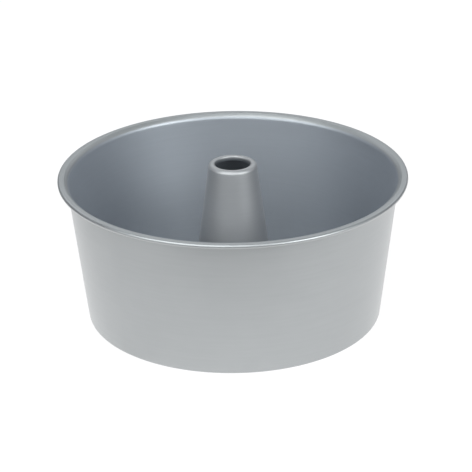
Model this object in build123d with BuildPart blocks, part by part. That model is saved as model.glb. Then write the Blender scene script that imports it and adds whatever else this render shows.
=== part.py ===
from build123d import *
import os
from math import asin, cos, degrees, radians, sin, tan

# Angel food cake pan of the 10 inch trade size. A spun outer ring has a rolled rim and an inward
# seat at its foot. A loose base sits on that seat: a pressed plate with a tapered tube locked into
# its hole. Lengths are in millimetres and angles in degrees. +Z is up, and the origin is on the
# pan's axis, on the table. Each piece is one sheet: the middle line of its section is drawn as a
# path, thickened to the gauge and turned round the axis.

# Outer ring. Radii and bends are those of the side that the cake touches.
mouth_radius = 125.2  # where the line of the wall meets the plane of the rim
pan_height = 112.8  # table to rim
wall_draft = 6.9  # lean of the wall
wall_gauge = 1.2
seat_width = 10.0  # from the wall in to the free edge of the seat
seat_bend = 1.0
flare_depth = 2.6  # rim down to the corner between the wall and the flare
flare_slope = 38.0  # of the flare, from level
flare_bend = 5.0  # from the wall out into the flare
shoulder_bend = 1.6  # from the flare to the level rim
rim_flat = 2.5  # level strip between the shoulder and the rolled edge
roll_radius = 1.75  # outside of the rolled edge
roll_gap = 0.35  # between the end of the roll and the underside of the rim

# Base plate. Its rim lies on the seat, and its middle is pressed up.
plate_gauge = 1.2
plate_clearance = 0.3  # from the bend of the seat to the edge of the plate
panel_rise = 2.0
panel_inset = 1.5  # from the free edge of the seat in to the step
step_slope = 45.0
step_bend = 1.0  # middle line of both bends of the step

# Centre tube. Radii and bends are those of the side that the cake touches.
tube_gauge = 1.0
tube_rise = 8.6  # rim to the top of the tube
tube_draft = 7.5
hole_radius = 13.5
crown_width = 4.75  # from the hole out to the line of the cone
crown_bend = 3.3
lip_bend = 1.4
lip_depth = 4.0  # the edge of the hole is turned down this far

# Joint between the tube and the plate: a fold above the plate and a flange below it.
neck_inset = 2.0  # from the foot of the cone in to the neck
neck_clearance = 0.05  # between the neck and the hole in the plate
neck_bend = 0.3  # inside both bends of the neck, and on the edges of the hole
fold_bend = 0.6  # inside the fold
fold_reach = 0.5  # level strip of the fold beyond the cone
blend_bend = 0.8  # from the fold up into the cone
flange_width = 5.0

# Every other cut edge is rounded this much.
edge_ease = 0.3

# Places that follow from the sizes.
seat_top = wall_gauge
panel_underside = seat_top + panel_rise
panel_top = panel_underside + plate_gauge
tube_top = pan_height + tube_rise
wall_skew = wall_gauge / 2 / cos(radians(wall_draft))
flare_skew = wall_gauge / 2 / sin(radians(flare_slope))
tube_skew = tube_gauge / 2 / cos(radians(tube_draft))


def wall_radius(height):
    """Inside radius of the ring's wall at a height."""
    return mouth_radius - (pan_height - height) * tan(radians(wall_draft))


def flare_radius(height):
    """Inside radius of the ring's flare at a height."""
    above_corner = height - pan_height + flare_depth
    return wall_radius(pan_height - flare_depth) + above_corner / tan(radians(flare_slope))


def cone_radius(height):
    """Outside radius of the tube's cone at a height."""
    return hole_radius + crown_width + (tube_top - height) * tan(radians(tube_draft))


def bend_length(bend, turn):
    """Length from a corner to where its bend begins."""
    return bend * tan(radians(turn / 2))


seat_bend_start = wall_radius(seat_top) - bend_length(seat_bend, 90 - wall_draft)
seat_edge_radius = wall_radius(seat_top) - seat_width
roll_centre_radius = flare_radius(pan_height) + bend_length(shoulder_bend, flare_slope) + rim_flat
plate_radius = seat_bend_start - plate_clearance
step_radius = seat_edge_radius - panel_inset
neck_radius = cone_radius(panel_top) - neck_inset
plate_hole_radius = neck_radius + neck_clearance

os.makedirs("parts", exist_ok=True)

# Pan ring: seat, wall, flare, level rim and rolled edge
seat_middle = seat_top - wall_gauge / 2
rim_middle = pan_height - wall_gauge / 2
corner_drop = (flare_skew - wall_skew) / (1 / tan(radians(flare_slope)) - tan(radians(wall_draft)))
flare_middle = pan_height - flare_depth - corner_drop
roll_turn = 270 + degrees(asin((roll_radius - wall_gauge - roll_gap) / roll_radius))
with BuildPart() as pan_ring:
    with BuildSketch(Plane.XZ) as section:
        with BuildLine():
            wall = FilletPolyline(
                (seat_edge_radius, seat_middle),
                (wall_radius(seat_middle) + wall_skew, seat_middle),
                (wall_radius(flare_middle) + wall_skew, flare_middle),
                (flare_radius(rim_middle) + flare_skew, rim_middle),
                (roll_centre_radius, rim_middle),
                radius=(
                    seat_bend + wall_gauge / 2,
                    flare_bend - wall_gauge / 2,
                    shoulder_bend - wall_gauge / 2,
                ),
            )
            roll = JernArc(wall @ 1, wall % 1, roll_radius - wall_gauge / 2, -roll_turn)
        trace(line_width=wall_gauge)
        for cut in (wall @ 0, roll @ 1):
            fillet(section.edges().sort_by_distance(cut)[0].vertices(), edge_ease)
    revolve(axis=Axis.Z)
pan_ring.part.label = "pan_ring"

# Base plate: rim, step, raised panel and the hole for the tube
plate_rim_middle = seat_top + plate_gauge / 2
panel_middle = panel_top - plate_gauge / 2
step_run = panel_rise / tan(radians(step_slope))
with BuildPart() as base_plate:
    with BuildSketch(Plane.XZ) as section:
        with BuildLine():
            plate = FilletPolyline(
                (plate_radius, plate_rim_middle),
                (step_radius, plate_rim_middle),
                (step_radius - step_run, panel_middle),
                (plate_hole_radius, panel_middle),
                radius=(step_bend, step_bend),
            )
        trace(line_width=plate_gauge)
        for cut, ease in ((plate @ 0, edge_ease), (plate @ 1, neck_bend)):
            fillet(section.edges().sort_by_distance(cut)[0].vertices(), ease)
    revolve(axis=Axis.Z)
base_plate.part.label = "base_plate"

# Centre tube: flange, neck, fold, cone, crown and lip
flange_middle = panel_underside - tube_gauge / 2
fold_low = panel_top + tube_gauge / 2
fold_turn_radius = fold_bend + tube_gauge / 2
fold_high = fold_low + fold_turn_radius + fold_turn_radius
crown_middle = tube_top - tube_gauge / 2
neck_middle = neck_radius - tube_gauge / 2
lip_middle = hole_radius + tube_gauge / 2
fold_start = cone_radius(panel_top) + bend_length(blend_bend, 90 - tube_draft) + fold_reach
with BuildPart() as centre_tube:
    with BuildSketch(Plane.XZ) as section:
        with BuildLine():
            neck = FilletPolyline(
                (neck_radius + flange_width, flange_middle),
                (neck_middle, flange_middle),
                (neck_middle, fold_low),
                (fold_start, fold_low),
                radius=(neck_bend + tube_gauge / 2, neck_bend + tube_gauge / 2),
            )
            fold = JernArc(neck @ 1, neck % 1, fold_turn_radius, 180)
            cone = FilletPolyline(
                fold @ 1,
                (cone_radius(fold_high) - tube_skew, fold_high),
                (cone_radius(crown_middle) - tube_skew, crown_middle),
                (lip_middle, crown_middle),
                (lip_middle, tube_top - lip_depth),
                radius=(
                    blend_bend + tube_gauge / 2,
                    crown_bend - tube_gauge / 2,
                    lip_bend - tube_gauge / 2,
                ),
            )
        trace(line_width=tube_gauge)
        for cut in (neck @ 0, cone @ 1):
            fillet(section.edges().sort_by_distance(cut)[0].vertices(), edge_ease)
    revolve(axis=Axis.Z)
centre_tube.part.label = "centre_tube"

export_step(pan_ring.part, "parts/pan_ring.step")
export_step(base_plate.part, "parts/base_plate.step")
export_step(centre_tube.part, "parts/centre_tube.step")
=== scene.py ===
# Looks of an angel food cake pan: satin anodised aluminium, spun and pressed, on white paper.
import math

import bmesh
import bpy
from mathutils import Matrix, Vector


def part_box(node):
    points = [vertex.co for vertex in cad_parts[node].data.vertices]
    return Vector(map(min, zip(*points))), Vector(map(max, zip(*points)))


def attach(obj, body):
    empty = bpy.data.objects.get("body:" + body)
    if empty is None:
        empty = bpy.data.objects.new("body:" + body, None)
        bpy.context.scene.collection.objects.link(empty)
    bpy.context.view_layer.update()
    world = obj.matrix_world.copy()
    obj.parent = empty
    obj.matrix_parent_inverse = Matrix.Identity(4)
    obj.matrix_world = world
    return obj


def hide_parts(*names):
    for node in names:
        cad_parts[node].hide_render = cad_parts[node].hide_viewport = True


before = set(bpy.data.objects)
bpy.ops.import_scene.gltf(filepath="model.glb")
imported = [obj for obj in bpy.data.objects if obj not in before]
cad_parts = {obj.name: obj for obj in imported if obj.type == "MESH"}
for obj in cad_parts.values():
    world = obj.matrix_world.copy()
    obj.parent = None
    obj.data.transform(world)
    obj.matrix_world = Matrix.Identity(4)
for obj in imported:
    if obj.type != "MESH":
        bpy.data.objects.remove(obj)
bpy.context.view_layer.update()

# Pan ring. The outer wall is one disc of soft aluminium, spun over a former, so it is round
# everywhere: an inward seat at the foot, a tapered wall, a flare, and a rolled edge with no wire
# in it. Then it is etched matt and anodised.
mm = 0.001
ring_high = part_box("pan_ring")[1]
pan_height = ring_high.z
rim_radius = ring_high.x
ring_gauge = 1.2 * mm
mouth_radius = 125.2 * mm
wall_draft = math.radians(6.9)
seat_width = 10.0 * mm
seat_bend = 1.0 * mm
flare_depth = 2.6 * mm
flare_slope = math.radians(38)
flare_bend = 5.0 * mm
shoulder_bend = 1.6 * mm
roll_radius = 1.75 * mm
roll_gap = 0.35 * mm
edge_ease = 0.3 * mm
ring_steps = 288
bend_points = 12
ease_points = 4
longest_step = 3.0 * mm
weld_reach = 0.005 * mm


def linear(colour):
    """Linear red, green, blue and alpha of an sRGB hex colour."""
    channels = [int(colour[start:start + 2], 16) / 255 for start in (1, 3, 5)]
    return [c / 12.92 if c <= 0.04045 else ((c + 0.055) / 1.055) ** 2.4 for c in channels] + [1.0]


def add_node(tree, kind, settings=None, inputs=None, links=None):
    """Adds a node, sets its properties and input values, and joins other nodes' outputs to its
    inputs."""
    node = tree.nodes.new(kind)
    for name, value in (settings or {}).items():
        setattr(node, name, value)
    for name, value in (inputs or {}).items():
        node.inputs[name].default_value = value
    for name, output in (links or {}).items():
        tree.links.new(output, node.inputs[name])
    return node


def lathe_tree():
    """Geometry nodes that turn a sheet's middle line, drawn as radius and height, into a spun
    shell."""
    tree = bpy.data.node_groups.new("spun_sheet", "GeometryNodeTree")
    face = tree.interface
    face.new_socket("Geometry", in_out="INPUT", socket_type="NodeSocketGeometry")
    for size in ("Gauge", "Edge Ease", "Longest Step"):
        face.new_socket(size, in_out="INPUT", socket_type="NodeSocketFloat")
    for count in ("Points In Bend", "Steps Round"):
        face.new_socket(count, in_out="INPUT", socket_type="NodeSocketInt")
    face.new_socket("Material", in_out="INPUT", socket_type="NodeSocketMaterial")
    face.new_socket("Geometry", in_out="OUTPUT", socket_type="NodeSocketGeometry")
    given = add_node(tree, "NodeGroupInput").outputs

    # Each corner is rounded to its own bend, and long straight runs are cut into short steps.
    bend = add_node(tree, "GeometryNodeInputRadius")
    bent = add_node(tree, "GeometryNodeFilletCurve", {"mode": "POLY"}, {"Limit Radius": True},
                    {"Curve": given["Geometry"], "Count": given["Points In Bend"],
                     "Radius": bend.outputs["Radius"]})
    along = add_node(tree, "GeometryNodeSplineParameter")
    index = add_node(tree, "GeometryNodeInputIndex")
    following = add_node(tree, "ShaderNodeMath", {"operation": "ADD"}, {1: 1.0},
                         {0: index.outputs["Index"]})
    reach = add_node(tree, "GeometryNodeFieldAtIndex", {"data_type": "FLOAT"}, None,
                     {"Index": following.outputs[0], "Value": along.outputs["Length"]})
    run = add_node(tree, "ShaderNodeMath", {"operation": "SUBTRACT"}, None,
                   {0: reach.outputs["Value"], 1: along.outputs["Length"]})
    steps = add_node(tree, "ShaderNodeMath", {"operation": "DIVIDE"}, None,
                     {0: run.outputs[0], 1: given["Longest Step"]})
    cuts = add_node(tree, "ShaderNodeMath", {"operation": "FLOOR"}, None, {0: steps.outputs[0]})
    stepped = add_node(tree, "GeometryNodeSubdivideCurve", None, None,
                       {"Curve": bent.outputs["Curve"], "Cuts": cuts.outputs[0]})
    marked = add_node(tree, "GeometryNodeStoreNamedAttribute",
                      {"data_type": "FLOAT", "domain": "POINT"}, {"Name": "along_sheet"},
                      {"Geometry": stepped.outputs["Curve"], "Value": along.outputs["Length"]})
    ends = add_node(tree, "GeometryNodeCurveEndpointSelection")
    ended = add_node(tree, "GeometryNodeStoreNamedAttribute",
                     {"data_type": "FLOAT", "domain": "POINT"}, {"Name": "cut_edge"},
                     {"Geometry": marked.outputs["Geometry"], "Value": ends.outputs["Selection"]})

    # A short line as long as the gauge sweeps the path into a strip, whose border is the section.
    half = add_node(tree, "ShaderNodeMath", {"operation": "MULTIPLY"}, {1: 0.5},
                    {0: given["Gauge"]})
    back = add_node(tree, "ShaderNodeMath", {"operation": "MULTIPLY"}, {1: -0.5},
                    {0: given["Gauge"]})
    start = add_node(tree, "ShaderNodeCombineXYZ", None, None, {"X": back.outputs[0]})
    end = add_node(tree, "ShaderNodeCombineXYZ", None, None, {"X": half.outputs[0]})
    across = add_node(tree, "GeometryNodeCurvePrimitiveLine", None, None,
                      {"Start": start.outputs[0], "End": end.outputs[0]})
    strip = add_node(tree, "GeometryNodeCurveToMesh", None, None,
                     {"Curve": ended.outputs["Geometry"], "Profile Curve": across.outputs["Curve"]})
    merged = add_node(tree, "GeometryNodeMergeByDistance", None, {"Distance": weld_reach},
                      {"Geometry": strip.outputs["Mesh"]})
    sides = add_node(tree, "GeometryNodeInputMeshEdgeNeighbors")
    border = add_node(tree, "ShaderNodeMath", {"operation": "COMPARE"}, {1: 1.0, 2: 0.5},
                      {0: sides.outputs["Face Count"]})
    outline = add_node(tree, "GeometryNodeMeshToCurve", None, None,
                       {"Mesh": merged.outputs["Geometry"], "Selection": border.outputs[0]})
    cut = add_node(tree, "GeometryNodeInputNamedAttribute", {"data_type": "FLOAT"},
                   {"Name": "cut_edge"})
    ease = add_node(tree, "ShaderNodeMath", {"operation": "MULTIPLY"}, None,
                    {0: cut.outputs["Attribute"], 1: given["Edge Ease"]})
    eased = add_node(tree, "GeometryNodeFilletCurve", {"mode": "POLY"},
                     {"Count": ease_points, "Limit Radius": True},
                     {"Curve": outline.outputs["Curve"], "Radius": ease.outputs[0]})

    # The section goes round a circle of unit radius, which is taken off its own radius first.
    placed = add_node(tree, "GeometryNodeTransform", None,
                      {"Translation": (-1.0, 0.0, 0.0), "Scale": (1.0, -1.0, 1.0)},
                      {"Geometry": eased.outputs["Curve"]})
    circle = add_node(tree, "GeometryNodeCurvePrimitiveCircle", None, {"Radius": 1.0},
                      {"Resolution": given["Steps Round"]})
    turned = add_node(tree, "GeometryNodeCurveToMesh", None, None,
                      {"Curve": circle.outputs["Curve"],
                       "Profile Curve": placed.outputs["Geometry"]})
    smooth = add_node(tree, "GeometryNodeSetShadeSmooth", None, None,
                      {"Geometry": turned.outputs["Mesh"]})
    real = add_node(tree, "GeometryNodeRealizeInstances", None, None,
                    {"Geometry": smooth.outputs["Geometry"]})
    coated = add_node(tree, "GeometryNodeSetMaterial", None, None,
                      {"Geometry": real.outputs["Geometry"], "Material": given["Material"]})
    add_node(tree, "NodeGroupOutput", None, None, {"Geometry": coated.outputs["Geometry"]})
    return tree


spun_sheet = lathe_tree()


def spin(name, corners, gauge, steps_round, material):
    """Makes a piece from its middle line's corners, each a radius, a height and a bend."""
    line = bpy.data.curves.new(name, "CURVE")
    line.dimensions = "3D"
    path = line.splines.new("POLY")
    path.points.add(len(corners) - 1)
    for point, (radius, height, bend) in zip(path.points, corners):
        point.co = (radius, height, 0.0, 1.0)
        point.radius = bend
    source = bpy.data.objects.new(name + "_line", line)
    bpy.context.scene.collection.objects.link(source)
    lathe = source.modifiers.new("spin", "NODES")
    lathe.node_group = spun_sheet
    sizes = {"Gauge": gauge, "Edge Ease": edge_ease, "Longest Step": longest_step,
             "Points In Bend": bend_points, "Steps Round": steps_round, "Material": material}
    for socket in spun_sheet.interface.items_tree:
        if socket.in_out == "INPUT" and socket.name in sizes:
            lathe[socket.identifier] = sizes[socket.name]
    seen = source.evaluated_get(bpy.context.evaluated_depsgraph_get())
    mesh = bpy.data.meshes.new_from_object(seen)
    bpy.data.objects.remove(source)
    solid = bmesh.new()
    solid.from_mesh(mesh)
    bmesh.ops.remove_doubles(solid, verts=solid.verts, dist=weld_reach)
    bmesh.ops.recalc_face_normals(solid, faces=solid.faces)
    solid.to_mesh(mesh)
    solid.free()
    mesh.name = name
    piece = bpy.data.objects.new(name, mesh)
    bpy.context.scene.collection.objects.link(piece)
    return piece


def anodised_aluminium(name, pale, deep, roughness, across, pitch, streak):
    """Etched and anodised sheet, pale and deep where its film is thinner or thicker. Its lines are
    a pitch apart and a streak long, and across is the coordinate or attribute that counts them."""
    film_size = 24.0 * mm
    etch_size = 0.45 * mm
    etch_depth = 0.008 * mm
    line_depth = 0.010 * mm
    line_share = 0.6
    noise_low = 0.2
    noise_high = 0.8
    gloss_change = 0.03
    oxide_roughness = 0.30
    oxide_ior = 1.65
    material = bpy.data.materials.new(name)
    material.use_nodes = True
    tree = material.node_tree
    tree.nodes.clear()
    place = add_node(tree, "ShaderNodeTexCoord")
    axes = add_node(tree, "ShaderNodeSeparateXYZ", None, None, {0: place.outputs["Object"]})
    if across in axes.outputs:
        counted = axes.outputs[across]
    else:
        counted = add_node(tree, "ShaderNodeAttribute", {"attribute_name": across}).outputs["Fac"]

    # Marks of the roller or the mill run one way. The etch, drawn coarser than real pits so that it
    # shows, and the slow changes of the film's thickness have no direction. Over the metal lies the
    # clear film of oxide, whose own gloss is smoother than the etch beneath it.
    laid = add_node(tree, "ShaderNodeCombineXYZ", None, None,
                    {"X": counted, "Y": axes.outputs["X"], "Z": axes.outputs["Y"]})
    stretched = add_node(tree, "ShaderNodeVectorMath", {"operation": "MULTIPLY"},
                         {1: (1 / pitch, 1 / streak, 1 / streak)}, {0: laid.outputs[0]})
    lines = add_node(tree, "ShaderNodeTexNoise", None,
                     {"Scale": 1.0, "Detail": 3.0, "Roughness": 0.6},
                     {"Vector": stretched.outputs[0]}).outputs["Fac"]
    film = add_node(tree, "ShaderNodeTexNoise", None,
                    {"Scale": 1 / film_size, "Detail": 2.0, "Roughness": 0.5},
                    {"Vector": place.outputs["Object"]}).outputs["Fac"]
    etch = add_node(tree, "ShaderNodeTexNoise", None,
                    {"Scale": 1 / etch_size, "Detail": 2.0, "Roughness": 0.6},
                    {"Vector": place.outputs["Object"]}).outputs["Fac"]
    thin = add_node(tree, "ShaderNodeMath", {"operation": "MULTIPLY"}, {1: 1 - line_share},
                    {0: film})
    both = add_node(tree, "ShaderNodeMath", {"operation": "MULTIPLY_ADD"}, {1: line_share},
                    {0: lines, 2: thin.outputs[0]})
    tone = add_node(tree, "ShaderNodeMapRange", None,
                    {"From Min": noise_low, "From Max": noise_high}, {"Value": both.outputs[0]})
    colour = add_node(tree, "ShaderNodeMix", {"data_type": "RGBA"},
                      {"A": linear(deep), "B": linear(pale)}, {"Factor": tone.outputs[0]})
    gloss = add_node(tree, "ShaderNodeMapRange", None,
                     {"From Min": noise_low, "From Max": noise_high,
                      "To Min": roughness + gloss_change, "To Max": roughness - gloss_change},
                     {"Value": both.outputs[0]})
    grain = add_node(tree, "ShaderNodeBump", None, {"Distance": etch_depth}, {"Height": etch})
    relief = add_node(tree, "ShaderNodeBump", None, {"Distance": line_depth},
                      {"Height": lines, "Normal": grain.outputs[0]})
    surface = add_node(tree, "ShaderNodeBsdfPrincipled", None,
                       {"Metallic": 1.0, "Coat Weight": 1.0, "Coat Roughness": oxide_roughness,
                        "Coat IOR": oxide_ior},
                       {"Base Color": colour.outputs["Result"], "Roughness": gloss.outputs[0],
                        "Normal": relief.outputs[0]})
    add_node(tree, "ShaderNodeOutputMaterial", None, None, {"Surface": surface.outputs[0]})
    return material


def radius_from_axis(tree):
    """Adds the nodes that give a point's distance from the pan's axis, and returns their output."""
    place = add_node(tree, "ShaderNodeTexCoord")
    flat = add_node(tree, "ShaderNodeVectorMath", {"operation": "MULTIPLY"}, {1: (1.0, 1.0, 0.0)},
                    {0: place.outputs["Object"]})
    return add_node(tree, "ShaderNodeVectorMath", {"operation": "LENGTH"}, None,
                    {0: flat.outputs[0]}).outputs["Value"]


fading = {"interpolation_type": "SMOOTHSTEP"}


def tint_sides(material, outside, inside, foot_radius, lean, top):
    """Tints each side of a tapered wall, its inside only up to a height. The middle of the sheet
    has the foot radius on the table, and goes out by the lean for each length up."""
    side_fade = 0.3 * mm
    top_fade = 3.0 * mm
    tree = material.node_tree
    surface = tree.nodes["Principled BSDF"]
    colour = surface.inputs["Base Color"].links[0].from_socket
    place = add_node(tree, "ShaderNodeTexCoord")
    axes = add_node(tree, "ShaderNodeSeparateXYZ", None, None, {0: place.outputs["Object"]})
    middle = add_node(tree, "ShaderNodeMath", {"operation": "MULTIPLY_ADD"},
                      {1: lean, 2: foot_radius}, {0: axes.outputs["Z"]})
    depth = add_node(tree, "ShaderNodeMath", {"operation": "SUBTRACT"}, None,
                     {0: middle.outputs[0], 1: radius_from_axis(tree)})
    inner = add_node(tree, "ShaderNodeMapRange", fading,
                     {"From Min": -side_fade, "From Max": side_fade}, {"Value": depth.outputs[0]})
    below = add_node(tree, "ShaderNodeMapRange", fading,
                     {"From Min": top - top_fade, "From Max": top, "To Min": 1.0, "To Max": 0.0},
                     {"Value": axes.outputs["Z"]})
    share = add_node(tree, "ShaderNodeMath", {"operation": "MULTIPLY"}, None,
                     {0: inner.outputs[0], 1: below.outputs[0]})
    tint = add_node(tree, "ShaderNodeMix", {"data_type": "RGBA"},
                    {"A": linear(outside), "B": linear(inside)}, {"Factor": share.outputs[0]})
    tinted = add_node(tree, "ShaderNodeMix", {"data_type": "RGBA", "blend_type": "MULTIPLY"},
                      {"Factor": 1.0}, {"A": colour, "B": tint.outputs["Result"]})
    tree.links.new(tinted.outputs["Result"], surface.inputs["Base Color"])


def wall_middle(height):
    """Radius of the middle line of the wall at a height."""
    skew = ring_gauge / 2 / math.cos(wall_draft)
    return mouth_radius - (pan_height - height) * math.tan(wall_draft) + skew


def flare_middle(height):
    """Radius of the middle line of the flare at a height."""
    corner_radius = mouth_radius - flare_depth * math.tan(wall_draft)
    above_corner = height - pan_height + flare_depth
    skew = ring_gauge / 2 / math.sin(flare_slope)
    return corner_radius + above_corner / math.tan(flare_slope) + skew


half_ring = ring_gauge / 2
seat_middle = half_ring
rim_middle = pan_height - half_ring
roll_middle = roll_radius - half_ring
roll_centre = rim_radius - roll_radius
roll_low = rim_middle - 2 * roll_middle
seat_edge = wall_middle(ring_gauge) - half_ring / math.cos(wall_draft) - seat_width
corner_gap = flare_middle(pan_height - flare_depth) - wall_middle(pan_height - flare_depth)
corner_drop = corner_gap / (1 / math.tan(flare_slope) - math.tan(wall_draft))
flare_corner = pan_height - flare_depth - corner_drop
ring_corners = [
    (seat_edge, seat_middle, 0.0),
    (wall_middle(seat_middle), seat_middle, seat_bend + half_ring),
    (wall_middle(flare_corner), flare_corner, flare_bend - half_ring),
    (flare_middle(rim_middle), rim_middle, shoulder_bend - half_ring),
    (roll_centre + roll_middle, rim_middle, roll_middle),
    (roll_centre + roll_middle, roll_low, roll_middle),
    (roll_centre - roll_middle, roll_low, roll_middle),
    (roll_centre - roll_middle, pan_height - ring_gauge - roll_gap, 0.0),
]

# The roller leaves a fine thread of lines about 0.5 mm apart. They are drawn 1.6 mm apart, so that
# they show, and as shallow for their width as the real ones: a faint grain round the pan. The
# inside is a cool grey, and the outside is tinted a little warmer.
spun_aluminium = anodised_aluminium(
    "spun_anodised_aluminium", pale="#B7BCC3", deep="#B3B8BF", roughness=0.56,
    across="along_sheet", pitch=1.6 * mm, streak=45.0 * mm)
tint_sides(spun_aluminium, outside="#FEFBF4", inside="#FFFFFF", foot_radius=wall_middle(0.0),
           lean=math.tan(wall_draft), top=pan_height)

# The tool that rolls the edge burnishes it, so it shines a little more than the wall.
burnish_gain = 0.13
ring_tree = spun_aluminium.node_tree
ring_roughness = ring_tree.nodes["Principled BSDF"].inputs["Roughness"]
burnish = add_node(ring_tree, "ShaderNodeMapRange", fading,
                   {"From Min": roll_centre - half_ring, "From Max": roll_centre + half_ring,
                    "To Max": burnish_gain}, {"Value": radius_from_axis(ring_tree)})
burnished = add_node(ring_tree, "ShaderNodeMath", {"operation": "SUBTRACT"}, None,
                     {0: ring_roughness.links[0].from_socket, 1: burnish.outputs[0]})
ring_tree.links.new(burnished.outputs[0], ring_roughness)
pan_ring = spin("spun_ring", ring_corners, ring_gauge, ring_steps, spun_aluminium)
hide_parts("pan_ring")
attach(pan_ring, "ring")

# Base plate. A disc blanked from the same sheet lies loose on the ring's seat. Its middle is
# pressed up by one step, which stiffens it and centres it, and its hole holds the tube.
plate_low, plate_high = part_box("base_plate")
plate_gauge = 1.2 * mm
panel_inset = 1.5 * mm
step_slope = math.radians(45)
step_bend = 1.0 * mm
neck_clearance = 0.05 * mm
flange_width = 5.0 * mm
tube_low, tube_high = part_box("centre_tube")
flange_radius = tube_high.x
neck_radius = flange_radius - flange_width
plate_rim_middle = plate_low.z + plate_gauge / 2
panel_middle = plate_high.z - plate_gauge / 2
step_radius = seat_edge - panel_inset
step_run = (panel_middle - plate_rim_middle) / math.tan(step_slope)
plate_corners = [
    (plate_high.x, plate_rim_middle, 0.0),
    (step_radius, plate_rim_middle, step_bend),
    (step_radius - step_run, panel_middle, step_bend),
    (neck_radius + neck_clearance, panel_middle, 0.0),
]

# Rolled sheet keeps the mill's straight grain, some tenths of a millimetre wide. It is drawn
# 1.3 mm wide, and it runs across the plate because nothing has turned it.
# Its colour is painted darker than the ring's, as painted shade at the bottom of the pan.
rolled_aluminium_painted_darker = anodised_aluminium(
    "rolled_anodised_aluminium_painted_darker", pale="#9EA2A6", deep="#9A9EA2", roughness=0.35,
    across="Y", pitch=1.3 * mm, streak=70.0 * mm)
base_plate = spin("pressed_plate", plate_corners, plate_gauge, ring_steps, rolled_aluminium_painted_darker)
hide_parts("base_plate")
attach(base_plate, "base")

# Centre tube. A cone drawn and spun from thinner sheet, with a rounded crown and the edge of its
# hole turned down. A fold above the plate and a flange below it lock the tube in, with no rivet.
tube_top = tube_high.z
tube_gauge = 1.0 * mm
tube_draft = math.radians(7.5)
hole_radius = 13.5 * mm
crown_width = 4.75 * mm
crown_bend = 3.3 * mm
lip_bend = 1.4 * mm
lip_depth = 4.0 * mm
neck_bend = 0.3 * mm
fold_bend = 0.6 * mm
fold_reach = 0.5 * mm
blend_bend = 0.8 * mm
tube_steps = 192


def cone_radius(height):
    """Outside radius of the tube's cone at a height."""
    return hole_radius + crown_width + (tube_top - height) * math.tan(tube_draft)


half_tube = tube_gauge / 2
tube_skew = half_tube / math.cos(tube_draft)
flange_middle = tube_low.z + half_tube
fold_low = plate_high.z + half_tube
fold_turn = fold_bend + half_tube
fold_high = fold_low + 2 * fold_turn
crown_middle = tube_top - half_tube
neck_middle = neck_radius - half_tube
blend_length = blend_bend * math.tan((math.radians(90) - tube_draft) / 2)
fold_edge = cone_radius(plate_high.z) + blend_length + fold_reach + fold_turn
tube_corners = [
    (flange_radius, flange_middle, 0.0),
    (neck_middle, flange_middle, neck_bend + half_tube),
    (neck_middle, fold_low, neck_bend + half_tube),
    (fold_edge, fold_low, fold_turn),
    (fold_edge, fold_high, fold_turn),
    (cone_radius(fold_high) - tube_skew, fold_high, blend_bend + half_tube),
    (cone_radius(crown_middle) - tube_skew, crown_middle, crown_bend - half_tube),
    (hole_radius + half_tube, crown_middle, lip_bend - half_tube),
    (hole_radius + half_tube, tube_top - lip_depth, 0.0),
]

# The tube is spun finer than the wall and etched less, so it is a little brighter. Its real lines
# are 0.4 mm apart, and they are drawn 1.2 mm apart. Its bore is painted darker: painted shade.
drawn_aluminium = anodised_aluminium(
    "drawn_anodised_aluminium", pale="#BEBFC1", deep="#BABBBD", roughness=0.60,
    across="along_sheet", pitch=1.2 * mm, streak=30.0 * mm)
# Painted shade: the inside of the cone, up to the crown, is tinted darker and bluer.
tint_sides(drawn_aluminium, outside="#FFFFFF", inside="#C4CAD4",
           foot_radius=cone_radius(0.0) - tube_skew, lean=-math.tan(tube_draft), top=crown_middle)
centre_tube = spin("drawn_tube", tube_corners, tube_gauge, tube_steps, drawn_aluminium)
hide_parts("centre_tube")
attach(centre_tube, "base")

# Floor. White paper, wide enough for every view. It is white to the camera and in the metal, apart
# from the pan's soft shadow and a painted shadow under the tube, where no light gets in. In front
# and at the sides the metal sees it run out into the dark of the room. It can't be seen from below.
floor_reach = 60.0
paper_colour = "#707070"
paper_level = 0.9
front_level = 0.96
front_dark = -0.46
front_white = -0.19
side_middle = 0.2
side_white = 0.4
side_dark = 1.1
tube_fade = 3.0 * mm
floor_mesh = bpy.data.meshes.new("paper")
floor_mesh.from_pydata([(-floor_reach, -floor_reach, 0), (floor_reach, -floor_reach, 0),
                        (floor_reach, floor_reach, 0), (-floor_reach, floor_reach, 0)],
                       [], [(0, 1, 2, 3)])
floor = bpy.data.objects.new("paper", floor_mesh)
bpy.context.scene.collection.objects.link(floor)
paper = bpy.data.materials.new("white_paper")
paper.use_nodes = True
floor_mesh.materials.append(paper)
sheet = paper.node_tree
sheet.nodes.clear()
spot = add_node(sheet, "ShaderNodeTexCoord")
axes = add_node(sheet, "ShaderNodeSeparateXYZ", None, None, {0: spot.outputs["Object"]})
off_middle = add_node(sheet, "ShaderNodeMath", {"operation": "SUBTRACT"}, {1: side_middle},
                      {0: axes.outputs["X"]})
sideways = add_node(sheet, "ShaderNodeMath", {"operation": "ABSOLUTE"}, None,
                    {0: off_middle.outputs[0]})
front = add_node(sheet, "ShaderNodeMapRange", fading,
                 {"From Min": front_dark, "From Max": front_white, "To Max": front_level},
                 {"Value": axes.outputs["Y"]})
side = add_node(sheet, "ShaderNodeMapRange", fading,
                {"From Min": side_white, "From Max": side_dark, "To Min": 1.0, "To Max": 0.0},
                {"Value": sideways.outputs[0]})
# A painted shadow: the paper's glow is cut out under the tube.
beyond_tube = add_node(sheet, "ShaderNodeMapRange", fading,
                       {"From Min": neck_radius, "From Max": neck_radius + tube_fade},
                       {"Value": radius_from_axis(sheet)})
front_and_side = add_node(sheet, "ShaderNodeMath", {"operation": "MULTIPLY"}, None,
                          {0: front.outputs[0], 1: side.outputs[0]})
sight = add_node(sheet, "ShaderNodeLightPath")
seen_white = add_node(sheet, "ShaderNodeMath", {"operation": "MAXIMUM"}, None,
                      {0: sight.outputs["Is Camera Ray"], 1: sight.outputs["Is Transmission Ray"]})
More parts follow.
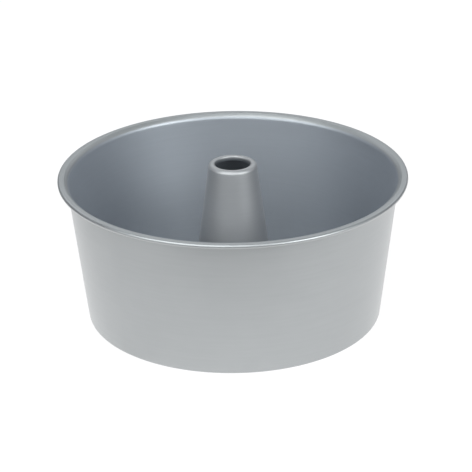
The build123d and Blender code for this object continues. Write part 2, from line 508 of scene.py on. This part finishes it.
shown = add_node(sheet, "ShaderNodeMath", {"operation": "MULTIPLY_ADD"}, None,
                 {0: sight.outputs["Is Glossy Ray"], 1: front_and_side.outputs[0],
                  2: seen_white.outputs[0]})
unshaded = add_node(sheet, "ShaderNodeMath", {"operation": "MULTIPLY"}, None,
                    {0: shown.outputs[0], 1: beyond_tube.outputs[0]})
strength = add_node(sheet, "ShaderNodeMath", {"operation": "MULTIPLY"}, {1: paper_level},
                    {0: unshaded.outputs[0]})
glow = add_node(sheet, "ShaderNodeEmission", None, {"Color": linear("#FFFFFF")},
                {"Strength": strength.outputs[0]})
matt = add_node(sheet, "ShaderNodeBsdfDiffuse", None, {"Color": linear(paper_colour)})
lit = add_node(sheet, "ShaderNodeAddShader", None, None, {0: glow.outputs[0], 1: matt.outputs[0]})
through = add_node(sheet, "ShaderNodeBsdfTransparent")
facing = add_node(sheet, "ShaderNodeNewGeometry")
one_sided = add_node(sheet, "ShaderNodeMixShader", None, None,
                     {0: facing.outputs["Backfacing"], 1: lit.outputs[0], 2: through.outputs[0]})
add_node(sheet, "ShaderNodeOutputMaterial", None, None, {"Surface": one_sided.outputs[0]})

# Studio. A dim room, white to the camera, with two paler bands and a pale ceiling. Softboxes stand
# round the front, and one at the back. The room's levels go by the sine of the height above the
# horizon.
softbox_colour = linear("#F9FDFC")
softbox_distance = 2.4
room_levels = [(0.0, 0.9), (0.03, 0.0), (0.20, 0.30), (0.35, 0.52), (0.50, 0.36), (0.62, 0.46),
               (0.75, 0.10), (0.90, 0.20), (1.0, 0.70)]
world = bpy.data.worlds.new("studio")
bpy.context.scene.world = world
world.use_nodes = True
room = world.node_tree
room.nodes.clear()
way = add_node(room, "ShaderNodeTexCoord")
rise = add_node(room, "ShaderNodeSeparateXYZ", None, None, {0: way.outputs["Generated"]})
bands = add_node(room, "ShaderNodeValToRGB", None, None, {0: rise.outputs["Z"]})
stops = bands.color_ramp.elements
stops[1].position = room_levels[-1][0]
for sine, level in room_levels[1:-1]:
    stops.new(sine)
for stop, (sine, level) in zip(stops, room_levels):
    stop.position = sine
    stop.color = (level, level, level, 1.0)
sight = add_node(room, "ShaderNodeLightPath")
brightness = add_node(room, "ShaderNodeMath", {"operation": "MAXIMUM"}, None,
                      {0: bands.outputs["Color"], 1: sight.outputs["Is Camera Ray"]})
tone = add_node(room, "ShaderNodeMix", {"data_type": "RGBA"},
                {"A": linear("#F3F8FF"), "B": linear("#FFFFFF")},
                {"Factor": sight.outputs["Is Camera Ray"]})
air = add_node(room, "ShaderNodeBackground", None, None,
               {"Color": tone.outputs["Result"], "Strength": brightness.outputs[0]})
add_node(room, "ShaderNodeOutputWorld", None, None, {"Surface": air.outputs[0]})


def softbox(name, azimuth, elevation, width, height, level):
    """An area lamp that faces the pan. A level of 1 is as bright as white paper."""
    lamp = bpy.data.lights.new(name, "AREA")
    lamp.shape = "RECTANGLE"
    lamp.size = width
    lamp.size_y = height
    lamp.color = softbox_colour[:3]
    lamp.energy = level * math.pi * width * height / softbox_colour[1]
    turn = math.radians(azimuth)
    lift = math.radians(elevation)
    outward = Vector((math.cos(turn) * math.cos(lift), math.sin(turn) * math.cos(lift),
                      math.sin(lift)))
    holder = bpy.data.objects.new(name, lamp)
    bpy.context.scene.collection.objects.link(holder)
    holder.location = outward * softbox_distance + Vector((0.0, 0.0, pan_height))
    holder.rotation_euler = outward.to_track_quat("Z", "Y").to_euler()


softbox("front_left_box", azimuth=220, elevation=27, width=1.7, height=1.1, level=2.5)
softbox("front_box", azimuth=261, elevation=24, width=1.65, height=0.65, level=2.4)
softbox("front_right_box", azimuth=320, elevation=25, width=1.25, height=1.2, level=5.2)
softbox("upper_box", azimuth=239, elevation=59, width=2.0, height=1.25, level=2.45)
softbox("upper_right_box", azimuth=292, elevation=49, width=1.7, height=1.3, level=0.7)
softbox("back_box", azimuth=92, elevation=42, width=3.4, height=1.2, level=0.8)

# Camera. It looks along +Y from above the front edge, from 13 rim radii away, with a long lens.
# The place of the rim's centre in the picture and the focal length are in pixels of the 472 pixel
# frame.
picture = 472
rim_column = 233.6
rim_row = 173.15
focal_pixels = 2277.5
view_elevation = math.radians(24.15)
view_roll = math.radians(-0.78)
view_distance = 13.0 * rim_radius
forward = Vector((0.0, math.cos(view_elevation), -math.sin(view_elevation)))
level_up = Vector((0.0, math.sin(view_elevation), math.cos(view_elevation)))
level_right = Vector((1.0, 0.0, 0.0))
scale = view_distance / focal_pixels
eye = Vector((0.0, 0.0, pan_height)) - view_distance * forward
eye += (picture / 2 - rim_column) * scale * level_right
eye -= (picture / 2 - rim_row) * scale * level_up
up = math.cos(view_roll) * level_up - math.sin(view_roll) * level_right
right = math.cos(view_roll) * level_right + math.sin(view_roll) * level_up
lens = bpy.data.cameras.new("camera")
lens.sensor_width = 36.0
lens.lens = lens.sensor_width * focal_pixels / picture
lens.clip_end = 200.0
camera = bpy.data.objects.new("camera", lens)
bpy.context.scene.collection.objects.link(camera)
camera.matrix_world = Matrix((right, up, -forward)).transposed().to_4x4()
camera.location = eye
bpy.context.scene.camera = camera
bpy.context.scene.view_settings.view_transform = "Standard"
